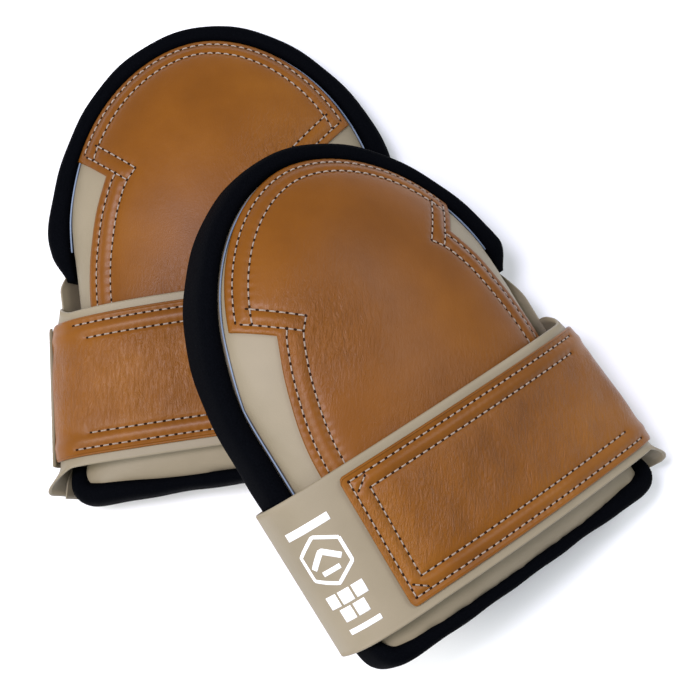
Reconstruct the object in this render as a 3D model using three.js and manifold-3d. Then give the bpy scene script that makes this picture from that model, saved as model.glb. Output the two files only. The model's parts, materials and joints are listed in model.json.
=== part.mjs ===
// A mirrored pair of roofer's knee pads: a foam bowl under a vinyl cover and a stitched leather cap, with a
// padded edge, and a wide leather-faced band that goes round the pad to a hook-and-loop closure at one side.
// Millimetres, +Z up. Each pad is built in its own frame: x across the knee, y towards the thigh, z out of the
// front, with the closure at +x. The first pad lies flat, and the second leans on it.

import * as THREE from "three";
import { mergeVertices } from "three/addons/utils/BufferGeometryUtils.js";
import Module from "manifold-3d";

// Driving dimensions of one pad
const HALF_WIDTH = 83.5; // cover at the rim, without the padded edge
const DOME_Y = 17; // where the straight sides turn into the dome
const DOME_LENGTH = 96; // dome beyond DOME_Y
const FOOT_LENGTH = 135; // sides below DOME_Y, down to the foot of the pad
const FOOT_SQUARENESS = 14; // superellipse exponent of the two foot corners
const FOOT_FLARE = 6; // how much each side widens down to the foot
const CLOSURE_TUCK = 3; // how much the closure side is drawn in
const RIM_Z = 26; // top of the side wall
const UNDER_Z = 5; // underside of the foam, above the strap
const CROWN_HEIGHT = 30; // crown above the rim
const CROWN_FLATNESS = 2.2;
const CROWN_FULLNESS = 2 / 3;
const FOOT_DROP = 0.6; // share of the crown that is lost at the foot
const FOOT_SHARPNESS = 6;
const COVER_THICKNESS = 1.6;
const FOAM_WALL = 22;
const HOLLOW_HEIGHT = 29; // knee hollow above UNDER_Z
const LINING_THICKNESS = 2.5;
const LEATHER_THICKNESS = 2.3;
const EDGE_THICKNESS = 8.7;
const EDGE_RISE = 1; // how far the side wall stands above the rim
const DOME_EDGE_ENDS = [-0.038, 0.574]; // shares of the way round the outline, from the closure side
const FOOT_EDGE_ENDS = [0.581, 0.842];
const GUSSET_ENDS = [0.85, 0.955];
const GUSSET_THICKNESS = 2.6;
const BAND_THICKNESS = 2;
const STRAP_THICKNESS = 2.2;
const PATCH_THICKNESS = 1.2;
const GAP = 0.3; // between pieces that touch

// Band: its lower and upper edge, and its way round the pad as x and z of its inner face, from the end that is
// turned under the pad on one side to the end at the closure
const BAND_LOW = -106;
const BAND_HIGH = -26;
const BAND_FLARE = 8; // how much wider the band gets at the closure
const BAND_MARGIN = 4.5; // vinyl showing past the leather
const BAND_PATH = [
  [-80, 4.7],
  [-93.5, 4.7],
  [-98.3, 8],
  [-98.8, 16],
  [-98, 26],
  [-92.5, 36],
  [-80, 45.5],
  [-60, 53],
  [-32, 58],
  [0, 60],
  [32, 58.6],
  [58, 54.5],
  [78, 47.5],
  [88.5, 38.5],
  [92.4, 29],
  [93.4, 18],
  [93.4, 7],
];
const BAND_SPLAY = 7; // how far the closure leans outwards at the band's low edge
const SPLAY_FOOT = 9; // height where that lean starts
const SPLAY_TOP = 32; // height where it is whole
const BAND_LEATHER_START = 65; // along the band from its turned-under end
const BAND_LEATHER_END = 28; // before the closure end
const FLAP_LENGTH = 25;
const STRAP_LOW = -102; // edges of the strap and the flap in y
const STRAP_HIGH = -34;
const STRAP_START = -90;
const STRAP_BEND = 3.6; // outer radius of its turn up to the flap

// Leather cap: the top arc, step and flare of its outline
const CAP_HALF_WIDTH = 79;
const CAP_LENGTH = 94;
const CAP_STEP_Y = 55;
const CAP_STEP_INNER = new THREE.Vector2(56.5, 42);
const CAP_FLARE = [
  [63.5, 25],
  [68, 9],
  [71, -6],
  [72.5, -22],
  [73, -50],
];
const CAP_LOW = -94;

// How the two pads lie: position of each pad's origin, and its turn in degrees
const FIRST_PAD = { at: [-64.4, 50, 0], yaw: 7.7, roll: 0, pitch: 0 };
const SECOND_PAD = { at: [11.9, -22.2, 51.9], yaw: 35.3, roll: 23.05, pitch: 8.2 };

const OUTLINE_STEPS = 40;
const BAND_STEPS = 34;
const BOWL_RINGS = [0.22, 0.45, 0.65, 0.8, 0.9, 0.96, 1];

const wasm = await Module();
wasm.setup();

const finish = (color, roughness, metalness = 0) =>
  new THREE.MeshStandardMaterial({ color, roughness, metalness });
const materials = {
  leather: finish("#9a6230", 0.45),
  vinyl: finish("#b3a88f", 0.6),
  edging: finish("#0d0f14", 0.7),
  foam: finish("#c9c4b4", 0.9),
  lining: finish("#1b1c20", 0.95),
  webbing: finish("#16171b", 0.9),
  hook: finish("#101114", 0.8),
  loop: finish("#24262c", 0.95),
};

// --- Solids from rows of points ---

function geometryOf(points, faces) {
  const geometry = new THREE.BufferGeometry();
  geometry.setAttribute("position", new THREE.Float32BufferAttribute(points.flatMap((p) => p.toArray()), 3));
  geometry.setIndex(faces.flat());
  geometry.computeVertexNormals();
  return geometry;
}

// A closed body from rings of equal count: from a top centre outwards, down the side and in to a bottom centre.
// Upper and lower faces are split along the same diagonals, so that nested bodies keep their gap.
function ringBody(top, rings, bottom) {
  const count = rings[0].length;
  const points = [top, ...rings.flat(), bottom];
  const at = (ring, k) => 1 + ring * count + (k % count);
  const faces = [];
  for (let k = 0; k < count; k++) {
    faces.push([0, at(0, k), at(0, k + 1)]);
    for (let r = 0; r + 1 < rings.length; r++) {
      const [a, b, c, d] = [at(r, k), at(r + 1, k), at(r + 1, k + 1), at(r, k + 1)];
      faces.push(...(r < rings.length / 2 ? [[a, b, c], [a, c, d]] : [[a, b, d], [b, c, d]]));
    }
    faces.push([points.length - 1, at(rings.length - 1, k + 1), at(rings.length - 1, k)]);
  }
  return geometryOf(points, faces);
}

// A closed body through a row of equal sections, with flat convex ends. Each section runs anticlockwise when
// seen from the body's far end.
function sweptBody(sections) {
  const count = sections[0].length;
  const points = sections.flat();
  const at = (s, k) => s * count + (k % count);
  const last = sections.length - 1;
  const faces = [];
  for (let s = 0; s < last; s++) {
    for (let k = 0; k < count; k++) {
      faces.push([at(s, k), at(s, k + 1), at(s + 1, k + 1)]);
      faces.push([at(s, k), at(s + 1, k + 1), at(s + 1, k)]);
    }
  }
  for (let k = 1; k + 1 < count; k++) {
    faces.push([at(0, 0), at(0, k + 1), at(0, k)]);
    faces.push([at(last, 0), at(last, k), at(last, k + 1)]);
  }
  return geometryOf(points, faces);
}

function manifoldOf(geometry) {
  const plain = geometry.clone();
  plain.deleteAttribute("normal");
  plain.deleteAttribute("uv");
  const merged = mergeVertices(plain, 1e-4);
  return new wasm.Manifold(
    new wasm.Mesh({
      numProp: 3,
      vertProperties: merged.attributes.position.array,
      triVerts: new Uint32Array(merged.index.array),
    }),
  );
}

function geometryFrom(manifold) {
  const mesh = manifold.getMesh();
  const geometry = new THREE.BufferGeometry();
  geometry.setAttribute("position", new THREE.BufferAttribute(mesh.vertProperties, 3));
  geometry.setIndex(new THREE.BufferAttribute(mesh.triVerts, 1));
  geometry.computeVertexNormals();
  return geometry;
}

// --- Shape of the bowl ---

// Outline of the pad on a unit scale, a half circle at the dome and a squared foot, as points evenly spaced
// along the real outline. It starts at the closure side and runs anticlockwise.
const outlineTable = (() => {
  const steps = 720;
  const points = [];
  for (let i = 0; i < steps; i++) {
    const angle = (i / steps) * 2 * Math.PI;
    const [c, s] = [Math.cos(angle), Math.sin(angle)];
    const m = FOOT_SQUARENESS;
    const reach = s >= 0 ? 1 : Math.pow(Math.abs(c) ** m + Math.abs(s) ** m, -1 / m);
    points.push([c * reach, s * reach]);
  }
  const placed = points.map(([x, y]) => [x * HALF_WIDTH, y * (y > 0 ? DOME_LENGTH : FOOT_LENGTH)]);
  const lengths = [0];
  for (let i = 0; i < steps; i++) {
    const [a, b] = [placed[i], placed[(i + 1) % steps]];
    lengths.push(lengths[i] + Math.hypot(b[0] - a[0], b[1] - a[1]));
  }
  return { points, lengths, total: lengths[steps] };
})();

// Unit outline at a share of the way round.
function outlineAt(share) {
  const { points, lengths, total } = outlineTable;
  const wanted = (share - Math.floor(share)) * total;
  let i = lengths.findIndex((length) => length > wanted) - 1;
  i = Math.max(i, 0);
  const part = (wanted - lengths[i]) / (lengths[i + 1] - lengths[i]);
  const [a, b] = [points[i], points[(i + 1) % points.length]];
  return [a[0] + (b[0] - a[0]) * part, a[1] + (b[1] - a[1]) * part];
}

// Share of the full height at a point of the unit outline's scale: 1 on the crown and 0 at the rim.
function crownShare(x, y) {
  const across = y > 0 ? Math.hypot(x, y) : Math.abs(x);
  const side = Math.max(0, 1 - across ** CROWN_FLATNESS) ** CROWN_FULLNESS;
  return y > 0 ? side : side * (1 - FOOT_DROP * (-y) ** FOOT_SHARPNESS);
}

// Half the width of the pad at a point of the unit outline's scale.
const halfWidthAt = (x, y) =>
  HALF_WIDTH +
  FOOT_FLARE * Math.min(y, 0) ** 4 -
  (x > 0 ? CLOSURE_TUCK * (1 - THREE.MathUtils.smoothstep(y, -0.3, 0.4)) : 0);

// A bowl-shaped surface: the outline drawn in by inset, standing on base and rising by height.
const bowl = (inset, base, height) => (x, y) =>
  new THREE.Vector3(
    x * (halfWidthAt(x, y) - inset),
    DOME_Y + y * ((y > 0 ? DOME_LENGTH : FOOT_LENGTH) - inset),
    base + height * crownShare(x, y),
  );

const unitOutline = Array.from({ length: OUTLINE_STEPS }, (_, k) => outlineAt(k / OUTLINE_STEPS));
const bowlRing = (surface, s) => unitOutline.map(([x, y]) => surface(x * s, y * s));

// A bowl-shaped shell or block between two surfaces, with any rings between their rims.
function bowlBody(upper, lower, between = []) {
  const rings = [
    ...BOWL_RINGS.map((s) => bowlRing(upper, s)),
    ...between,
    ...[...BOWL_RINGS].reverse().map((s) => bowlRing(lower, s)),
  ];
  return ringBody(upper(0, 0), rings, lower(0, 0));
}

const coverOuter = bowl(0, RIM_Z, CROWN_HEIGHT);
const coverInner = bowl(COVER_THICKNESS, RIM_Z, CROWN_HEIGHT - COVER_THICKNESS);
const foamInset = COVER_THICKNESS + GAP;
const foamTop = bowl(foamInset, RIM_Z, CROWN_HEIGHT - foamInset);
const foamFoot = bowl(foamInset, UNDER_Z, HOLLOW_HEIGHT);
const hollowInset = foamInset + FOAM_WALL;
const hollow = bowl(hollowInset, UNDER_Z, HOLLOW_HEIGHT);
const liningOuter = bowl(hollowInset + GAP, UNDER_Z, HOLLOW_HEIGHT - GAP);
const liningInset = GAP + LINING_THICKNESS;
const liningInner = bowl(hollowInset + liningInset, UNDER_Z, HOLLOW_HEIGHT - liningInset);

// --- Pieces of the bowl ---

const makeCover = () => bowlBody(coverOuter, coverInner);
const makeFoam = () => bowlBody(foamTop, hollow, [bowlRing(foamFoot, 1)]);
const makeLining = () => bowlBody(liningOuter, liningInner);

// Plan outline of the leather cap: the dome arc, then down one side by a step and a flare, and up the other.
function capOutline() {
  const arcStart = Math.asin((CAP_STEP_Y - DOME_Y) / CAP_LENGTH);
  const arc = new THREE.EllipseCurve(0, DOME_Y, CAP_HALF_WIDTH, CAP_LENGTH, arcStart, Math.PI - arcStart);
  const side = (sign) => [
    new THREE.Vector2(sign * CAP_STEP_INNER.x, CAP_STEP_INNER.y),
    ...CAP_FLARE.map(([x, y]) => new THREE.Vector2(sign * x, y)),
    new THREE.Vector2(sign * CAP_FLARE.at(-1)[0], CAP_LOW),
  ];
  return new THREE.Shape([...arc.getPoints(24), ...side(-1), ...side(1).reverse()]);
}

function makeLeatherCap() {
  const low = bowl(-GAP, RIM_Z, CROWN_HEIGHT + GAP);
  const high = bowl(-GAP - LEATHER_THICKNESS, RIM_Z, CROWN_HEIGHT + GAP + LEATHER_THICKNESS);
  const prism = new THREE.ExtrudeGeometry(capOutline(), { depth: 80, bevelEnabled: false });
  return geometryFrom(manifoldOf(bowlBody(high, low)).intersect(manifoldOf(prism)));
}

// --- Side wall: padded edging and the gusset at the closure ---

// The wall stands on the strap, and comes down to the ground at the dome end.
const wallFoot = (y) => UNDER_Z * (1 - THREE.MathUtils.smoothstep(y, 25, 90));

// A wall section outside the rim, at a share of the way round: a rounded upright, thinned by the factor taper.
function wallSection(share, thickness, taper) {
  const [x, y] = outlineAt(share);
  const rim = coverOuter(x, y);
  const [before, after] = [outlineAt(share - 0.004), outlineAt(share + 0.004)].map(([a, b]) => coverOuter(a, b));
  const along = after.sub(before);
  const out = new THREE.Vector3(along.y, -along.x, 0).normalize();
  const arch = rim.z - RIM_Z;
  const low = wallFoot(rim.y) + arch;
  const top = rim.z + EDGE_RISE;
  const middle = (low + top) / 2;
  const half = ((top - low) / 2) * taper;
  const corner = 0.3;
  const outline = [
    [0, -1 + corner],
    [corner, -1],
    [1 - corner, -1],
    [1, -1 + 1.4 * corner],
    [1, 1 - 1.4 * corner],
    [1 - corner, 1],
    [corner, 1],
    [0, 1 - corner],
  ];
  return outline.map(([n, z]) => {
    const away = GAP + n * thickness * taper;
    return new THREE.Vector3(rim.x + out.x * away, rim.y + out.y * away, middle + z * half);
  });
}

function makeWall([from, to], thickness, steps, endTaper) {
  const sections = [];
  for (let i = 0; i <= steps; i++) {
    const fromEnd = Math.min(i, steps - i) / 2;
    const taper = fromEnd < 1 ? THREE.MathUtils.lerp(endTaper, 1, fromEnd) : 1;
    sections.push(wallSection(THREE.MathUtils.lerp(from, to, i / steps), thickness, taper));
  }
  return sweptBody(sections.map((section) => section.reverse()));
}

const makeDomeEdge = () => makeWall(DOME_EDGE_ENDS, EDGE_THICKNESS, 34, 0.7);
const makeFootEdge = () => makeWall(FOOT_EDGE_ENDS, EDGE_THICKNESS, 16, 0.85);
const makeGusset = () => makeWall(GUSSET_ENDS, GUSSET_THICKNESS, 6, 1);

// --- Band, straps and closure ---

const bandCurve = new THREE.CatmullRomCurve3(BAND_PATH.map(([x, z]) => new THREE.Vector3(x, 0, z)));
bandCurve.arcLengthDivisions = 600;
const BAND_LENGTH = bandCurve.getLength();

// Point of the band's inner face at a distance along it, moved outwards by an offset.
function bandPoint(distance, offset) {
  const u = THREE.MathUtils.clamp(distance / BAND_LENGTH, 0, 1);
  const tangent = bandCurve.getTangentAt(u);
  return bandCurve.getPointAt(u).add(new THREE.Vector3(-tangent.z, 0, tangent.x).multiplyScalar(offset));
}

// Point of the band at x and z across the pad and at y, where the closure leans outwards towards the low edge.
function splayed({ x, z }, y) {
  const { smoothstep } = THREE.MathUtils;
  const lean = (BAND_SPLAY * (BAND_HIGH - y)) / (BAND_HIGH - BAND_LOW);
  return new THREE.Vector3(x + lean * smoothstep(x, 30, HALF_WIDTH) * smoothstep(z, SPLAY_FOOT, SPLAY_TOP), y, z);
}

// A layer on the band's path from one distance to another. edges gives its two edges in y at a distance.
function bandLayer(from, to, offset, thickness, edges) {
  const distances = [from];
  for (let i = 1; i < BAND_STEPS; i++) {
    const distance = (i * BAND_LENGTH) / BAND_STEPS;
    if (distance > from + 1 && distance < to - 1) distances.push(distance);
  }
  distances.push(to);
  const sections = distances.map((distance) => {
    const [inner, outer] = [bandPoint(distance, offset), bandPoint(distance, offset + thickness)];
    const [low, high] = edges(distance);
    return [splayed(inner, low), splayed(inner, high), splayed(outer, high), splayed(outer, low)];
  });
  return sweptBody(sections);
}

const flare = (distance) => BAND_FLARE * THREE.MathUtils.smoothstep(distance, BAND_LENGTH - 75, BAND_LENGTH - 15);
const bandEdges = (distance) => [BAND_LOW - flare(distance) / 4, BAND_HIGH + flare(distance)];
const leatherEdges = () => [BAND_LOW + BAND_MARGIN, BAND_HIGH - BAND_MARGIN];
const strapEdges = () => [STRAP_LOW, STRAP_HIGH];
const patchEdges = () => [STRAP_LOW + 4, STRAP_HIGH - 4];

const LOOP_OFFSET = BAND_THICKNESS + GAP;
const HOOK_OFFSET = LOOP_OFFSET + PATCH_THICKNESS + GAP;
const FLAP_OFFSET = HOOK_OFFSET + PATCH_THICKNESS + GAP;
const FLAP_START = BAND_LENGTH - 2; // the flap's hinge line, where the strap turns up beside the pad
const FLAP_END = FLAP_START - FLAP_LENGTH;

const makeBandBacking = () => bandLayer(0, BAND_LENGTH, 0, BAND_THICKNESS, bandEdges);
const makeBandLeather = () => {
  const end = BAND_LENGTH - BAND_LEATHER_END;
  return bandLayer(BAND_LEATHER_START, end, BAND_THICKNESS + GAP, LEATHER_THICKNESS - GAP, leatherEdges);
};
const makeTape = (offset) => bandLayer(FLAP_END + 2, FLAP_START - 2, offset, PATCH_THICKNESS, patchEdges);
const makeLoopPatch = () => makeTape(LOOP_OFFSET);
const makeHookPatch = () => makeTape(HOOK_OFFSET);
const makeFlap = () => bandLayer(FLAP_END, FLAP_START, FLAP_OFFSET, STRAP_THICKNESS, strapEdges);

// The strap lies flat under the pad, and turns up at the closure side to meet the flap.
function makeUnderStrap() {
  const meet = bandPoint(FLAP_START + GAP, FLAP_OFFSET + STRAP_THICKNESS);
  const outer = [new THREE.Vector2(STRAP_START, 0), new THREE.Vector2(meet.x - STRAP_BEND, 0)];
  const inner = outer.map((p) => new THREE.Vector2(p.x, STRAP_THICKNESS));
  for (const angle of [22.5, 45, 67.5, 90]) {
    const [s, c] = [Math.sin(THREE.MathUtils.degToRad(angle)), Math.cos(THREE.MathUtils.degToRad(angle))];
    const r = STRAP_BEND - STRAP_THICKNESS;
    outer.push(new THREE.Vector2(meet.x - STRAP_BEND + STRAP_BEND * s, STRAP_BEND - STRAP_BEND * c));
    inner.push(new THREE.Vector2(meet.x - STRAP_BEND + r * s, STRAP_BEND - r * c));
  }
  const sections = outer.map((o, i) => {
    const corner = (p, y) => new THREE.Vector3(p.x, y, p.y);
    return [corner(inner[i], STRAP_LOW), corner(o, STRAP_LOW), corner(o, STRAP_HIGH), corner(inner[i], STRAP_HIGH)];
  });
  return sweptBody(sections);
}

// --- Assembly ---

function mesh(name, geometry, material) {
  const made = new THREE.Mesh(geometry, material);
  made.name = name;
  return made;
}

// A group whose origin is a hinge line, holding pieces that were modelled in the pad's frame.
function hinged(name, at, pieces) {
  const hinge = new THREE.Group();
  hinge.name = name;
  hinge.position.copy(at);
  for (const piece of pieces) {
    piece.position.sub(at);
    hinge.add(piece);
  }
  return hinge;
}

function makePad(prefix, pose, mirrored) {
  const pad = new THREE.Group();
  const name = (piece) => `${prefix}_${piece}`;
  pad.add(
    mesh(name("foam_core"), makeFoam(), materials.foam),
    mesh(name("vinyl_cover"), makeCover(), materials.vinyl),
    mesh(name("leather_cap"), makeLeatherCap(), materials.leather),
    mesh(name("knee_lining"), makeLining(), materials.lining),
    mesh(name("dome_edging"), makeDomeEdge(), materials.edging),
    mesh(name("foot_edging"), makeFootEdge(), materials.edging),
    mesh(name("side_gusset"), makeGusset(), materials.vinyl),
    mesh(name("band_backing"), makeBandBacking(), materials.vinyl),
    mesh(name("band_leather"), makeBandLeather(), materials.leather),
    mesh(name("under_strap"), makeUnderStrap(), materials.webbing),
    mesh(name("loop_patch"), makeLoopPatch(), materials.loop),
  );
  const flapHinge = bandPoint(FLAP_START, FLAP_OFFSET + STRAP_THICKNESS);
  pad.add(
    hinged(name("flap_hinge"), flapHinge, [
      mesh(name("closure_flap"), makeFlap(), mirrored ? materials.vinyl : materials.leather),
      mesh(name("hook_patch"), makeHookPatch(), materials.hook),
    ]),
  );
  const { degToRad } = THREE.MathUtils;
  pad.position.set(...pose.at);
  pad.rotation.set(degToRad(pose.pitch), degToRad(pose.roll), degToRad(pose.yaw), "ZYX");
  pad.scale.x = mirrored ? -1 : 1;
  return pad;
}

const pair = new THREE.Group();
pair.add(makePad("rear", FIRST_PAD, true), makePad("front", SECOND_PAD, false));

// The origin is at the middle of the pair's footprint, on the ground.
const box = new THREE.Box3().setFromObject(pair, true);
const centre = box.getCenter(new THREE.Vector3());
pair.position.set(-centre.x, -centre.y, -box.min.z);
const root = new THREE.Group();
root.add(pair);

export default root;
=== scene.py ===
"""A mirrored pair of roofer's knee pads, dressed in stitched leather, vinyl and padded edging.

Each pad is shaped in its own frame in millimetres: x across the knee, y towards the thigh and z out of
the front, with the closure at +x. It is then mirrored if need be, turned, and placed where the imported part
has it. A place along the pad's outline is given as a share of the way round, from 0 at the closure side,
anticlockwise over the dome, to 1.
"""

import json
import math

import bmesh
import bpy
import numpy as np
from mathutils import Matrix, Vector
from mathutils.geometry import delaunay_2d_cdt


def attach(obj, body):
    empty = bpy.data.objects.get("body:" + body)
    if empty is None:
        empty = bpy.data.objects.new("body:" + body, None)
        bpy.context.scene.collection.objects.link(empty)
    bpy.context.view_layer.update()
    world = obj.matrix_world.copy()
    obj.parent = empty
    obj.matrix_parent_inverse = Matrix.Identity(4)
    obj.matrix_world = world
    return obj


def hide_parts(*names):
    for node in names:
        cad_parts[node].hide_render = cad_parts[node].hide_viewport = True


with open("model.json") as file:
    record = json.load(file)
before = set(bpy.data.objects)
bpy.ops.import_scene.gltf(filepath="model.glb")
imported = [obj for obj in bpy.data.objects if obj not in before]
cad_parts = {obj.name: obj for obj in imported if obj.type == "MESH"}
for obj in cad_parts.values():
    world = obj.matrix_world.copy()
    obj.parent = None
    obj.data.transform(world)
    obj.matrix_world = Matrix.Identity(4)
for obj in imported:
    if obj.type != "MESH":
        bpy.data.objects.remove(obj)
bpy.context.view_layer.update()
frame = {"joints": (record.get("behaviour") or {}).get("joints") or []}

# Camera: distance in metres, elevation in degrees and lens in millimetres
CAMERA_DISTANCE = 1.11
CAMERA_ELEVATION = 81.1
CAMERA_LENS = 106.9
CAMERA_TARGET = Vector((0.0007, -0.002, 0))

# How each pad lies, in degrees. side is -1 for the mirrored pad, edge_start is where its dome edging ends,
# and flap is the material of its closure.
PADS = {
    "rear": {"yaw": 7.7, "roll": 0.0, "pitch": 0.0, "side": -1, "edge_start": -0.032, "flap": "vinyl"},
    "front": {"yaw": 35.3, "roll": 23.05, "pitch": 8.2, "side": 1, "edge_start": -0.008, "flap": "band"},
}
FLAP_HINGE = Vector((100.913, 0, 8.91))  # in the pad's own frame

# Bowl of the pad
HALF_WIDTH = 83.5
DOME_Y = 17.0
DOME_LENGTH = 96.0
DOME_FULLNESS = 1.88
FOOT_LENGTH = 135.0
FOOT_SQUARENESS = 24.0
FOOT_FLARE = 6.0
CORNER_FLARE = 6.0
CLOSURE_TUCK = 3.0
RIM_Z = 26.0
UNDER_Z = 5.0
CROWN_HEIGHT = 30.0
CROWN_FLATNESS = 2.2
CROWN_FULLNESS = 2 / 3
FOOT_DROP = 0.6
FOOT_SHARPNESS = 6.0
FOAM_WALL = 24.0
HOLLOW_HEIGHT = 29.0
LINING = 1.1
OUTLINE_STEPS = 240

# How the foam swells its cover, in metres
SWELL_VOXEL = 0.0045
SWELL_MOST = 0.0022
SWELL_PRESSURE = 4
SWELL_FRAMES = 20

# Leather cap
CAP_HALF_WIDTH = 79.0
CAP_LENGTH = 94.0
STEP_OUTER = np.array([70.9, 55.0])
STEP_INNER = np.array([56.5, 42.0])
CAP_FLARE = [
    (56.5, 42.0),
    (63.5, 25.0),
    (68.0, 9.0),
    (71.0, -6.0),
    (72.5, -22.0),
    (73.0, -50.0),
    (73.0, -94.0),
]
LEATHER = 2.3
ROW_INSETS = (3.8, 11.3)  # stitch rows, from the leather's edge
DOME_ROW_INSETS = (3.0, 9.3)
STITCHES_LOW = -90.0
STITCH_PITCH = 4.3
THREAD_RADIUS = 0.38
CAP_SPACING = 1.25

# Padded edging. An overlap is how far it reaches in over the cover.
EDGE_THICKNESS = 9.0
EDGE_OVERLAP = 2.2
EDGE_END = 0.545
FOOT_EDGE_THICKNESS = 5.6
FOOT_EDGE_OVERLAP = 2.2
FOOT_EDGE_ENDS = (0.55, 0.845)
PIPING_RADIUS = 0.45
PIPING_END = 0.54
EDGE_TOP = 27.6
SEAM = 0.35  # between the rim and the edging

# Band: x and z of its inner face from the end turned under the pad to the closure
BAND_LOW = -106.0
BAND_HIGH = -26.0
BAND_SAG = 5.0
BAND_THICKNESS = 1.8
BAND_SPLAY = 7.0
BAND_MARGIN = 4.5
BAND_PATH = [
    (-80, 4.4),
    (-91, 4.4),
    (-97, 7.5),
    (-98.6, 16),
    (-97.6, 26),
    (-92.5, 36),
    (-80, 45),
    (-60, 52.3),
    (-32, 57.6),
    (0, 59.6),
    (32, 58),
    (58, 53.4),
    (78, 45.6),
    (87.6, 37.5),
    (91, 29),
    (91.8, 18),
    (91.8, 8),
]
BAND_STEP = 0.5
LEATHER_START_X = -71.5
LEATHER_FROM_END = 22.5
WING_FLARE_HIGH = 6.0
WING_FLARE_LOW = 11.0
MARK_SCALE = 1.1
MARK_FROM_LEATHER = 24.0
MARK_SHIFT = -4.0

# Closure and strap
FLAP_LENGTH = 20.0
FLAP_LOW = -103.0
FLAP_HIGH = -31.0
TAPE_LOW = -98.0
TAPE_HIGH = -38.0
STRAP_LOW = -102.0
STRAP_HIGH = -34.0
STRAP_HALF = 1.0
STRAP_RIB_PITCH = 4.0
STRAP_PATH = [
    (-90, 1.25),
    (-60, 1.2),
    (0, 1.15),
    (60, 1.15),
    (90, 1.2),
    (96.4, 1.7),
    (98.9, 4.2),
    (99.3, 8.2),
]

# Leather colours: dark, middle and light
CAP_COLORS = (0.12, 0.038, 0.0022), (0.156, 0.051, 0.003), (0.2, 0.07, 0.005)
BAND_COLORS = (0.12, 0.039, 0.0025), (0.172, 0.058, 0.004), (0.23, 0.085, 0.009)


def smooth(value, low, high):
    t = np.clip((np.asarray(value, float) - low) / (high - low), 0, 1)
    return t * t * (3 - 2 * t)


# --- Camera ---


def make_camera():
    data = bpy.data.cameras.new("camera")
    camera = bpy.data.objects.new("camera", data)
    bpy.context.scene.collection.objects.link(camera)
    angle = math.radians(CAMERA_ELEVATION)
    offset = Vector((0, -math.cos(angle), math.sin(angle))) * CAMERA_DISTANCE
    camera.location = CAMERA_TARGET + offset
    camera.rotation_euler = (-offset).to_track_quat("-Z", "Y").to_euler()
    data.lens = CAMERA_LENS
    data.sensor_width = 36
    bpy.context.scene.camera = camera


make_camera()


# --- Materials ---


class Nodes:
    """A material's node tree, with short calls to add and link nodes."""

    def __init__(self, name, **sockets):
        self.material = bpy.data.materials.new(name)
        self.material.use_nodes = True
        self.tree = self.material.node_tree
        self.shader = self.tree.nodes["Principled BSDF"]
        for socket, value in sockets.items():
            self.shader.inputs[socket.replace("_", " ")].default_value = value

    def add(self, kind, **values):
        node = self.tree.nodes.new(kind)
        for key, value in values.items():
            if hasattr(node, key):
                setattr(node, key, value)
            else:
                node.inputs[key.replace("_", " ")].default_value = value
        return node

    def link(self, source, target):
        self.tree.links.new(source, target)

    def coordinates(self, scale=(1, 1, 1), rotation=(0, 0, 0)):
        """Object coordinates, in metres, stretched by scale."""
        place = self.add("ShaderNodeTexCoord")
        mapping = self.add("ShaderNodeMapping", Scale=scale, Rotation=rotation)
        self.link(place.outputs["Object"], mapping.inputs["Vector"])
        return mapping.outputs["Vector"]

    def noise(self, vector, scale, detail=3.0, roughness=0.55, distortion=0.0):
        node = self.add("ShaderNodeTexNoise", Scale=scale, Detail=detail, Roughness=roughness)
        node.inputs["Distortion"].default_value = distortion
        self.link(vector, node.inputs["Vector"])
        return node.outputs["Fac"]

    def cells(self, vector, scale):
        node = self.add("ShaderNodeTexVoronoi", feature="F1", Scale=scale)
        self.link(vector, node.inputs["Vector"])
        return node.outputs["Distance"]

    def ramp(self, value, stops):
        node = self.add("ShaderNodeValToRGB")
        elements = node.color_ramp.elements
        while len(elements) < len(stops):
            elements.new(0.5)
        for element, (position, color) in zip(elements, stops):
            element.position = position
            element.color = (*color, 1)
        self.link(value, node.inputs["Fac"])
        return node.outputs["Color"]

    def scaled(self, value, low, high):
        """value's 0 to 1 turned into low to high."""
        node = self.add("ShaderNodeMapRange")
        node.inputs["To Min"].default_value = low
        node.inputs["To Max"].default_value = high
        self.link(value, node.inputs["Value"])
        return node.outputs["Result"]

    def mix(self, factor, source, color):
        """The source colour with some of a plain colour over it."""
        node = self.add("ShaderNodeMix", data_type="RGBA")
        self.link(factor, node.inputs[0])
        self.link(source, node.inputs[6])
        node.inputs[7].default_value = (*color, 1)
        return node.outputs[2]

    def bump(self, height, strength, distance, after=None, where=None):
        """Bumps, on top of the normal after, and only as strong as where says."""
        node = self.add("ShaderNodeBump", Strength=strength, Distance=distance)
        self.link(height, node.inputs["Height"])
        if where:
            product = self.add("ShaderNodeMath", operation="MULTIPLY")
            product.inputs[1].default_value = strength
            self.link(where, product.inputs[0])
            self.link(product.outputs[0], node.inputs["Strength"])
        if after:
            self.link(after, node.inputs["Normal"])
        return node.outputs["Normal"]

    def finish(self, color=None, roughness=None, normal=None):
        for value, socket in ((color, "Base Color"), (roughness, "Roughness"), (normal, "Normal")):
            if value is not None:
                self.link(value, self.shader.inputs[socket])
        return self.material


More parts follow.
